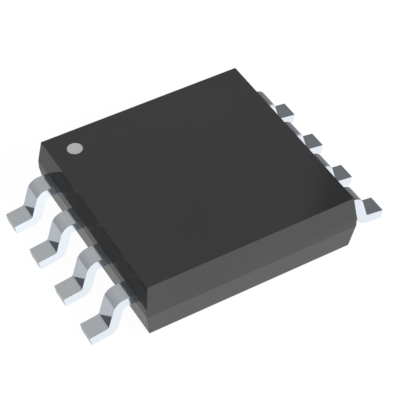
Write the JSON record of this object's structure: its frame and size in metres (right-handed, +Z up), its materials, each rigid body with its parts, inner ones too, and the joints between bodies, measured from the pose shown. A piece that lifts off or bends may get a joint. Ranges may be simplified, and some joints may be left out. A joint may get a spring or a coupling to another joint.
{
  "type": "small outline integrated circuit package",
  "caption": "Flat square moulded chip package with gull-wing leads along opposite sides and a round mark by the first lead.",
  "frame": {"origin": "centre of the part's footprint, on the plane that the lead tips stand on", "axes": "+Z up from the board through the top face, +X across the two rows of leads, +Y along them; lead 1 and the round mark are at minus X, plus Y"},
  "size_m": [0.0076, 0.0052, 0.0016],
  "materials": {
    "mould_compound": "black silica-filled epoxy, fine satin as moulded",
    "mark_ink": "light grey marking ink, flat",
    "tinned_leads": "matte tin plating over copper alloy, smooth and bright",
    "frame_copper": "stamped copper alloy strip, bare",
    "die_adhesive": "cured silver-filled epoxy, dull",
    "silicon": "polished silicon, sawn sides",
    "gold_wire": "drawn gold, bright"
  },
  "bodies": {
    "root": {"moulded_body": "mould_compound", "pin_1_mark": "mark_ink", "lead_1": "tinned_leads", "lead_2": "tinned_leads", "lead_3": "tinned_leads", "lead_4": "tinned_leads", "lead_5": "tinned_leads", "lead_6": "tinned_leads", "lead_7": "tinned_leads", "lead_8": "tinned_leads", "die_paddle": "frame_copper", "die_attach": "die_adhesive", "silicon_die": "silicon", "bond_wire_1": "gold_wire", "bond_wire_2": "gold_wire", "bond_wire_3": "gold_wire", "bond_wire_4": "gold_wire", "bond_wire_5": "gold_wire", "bond_wire_6": "gold_wire", "bond_wire_7": "gold_wire", "bond_wire_8": "gold_wire"}
  },
  "joints": []
}
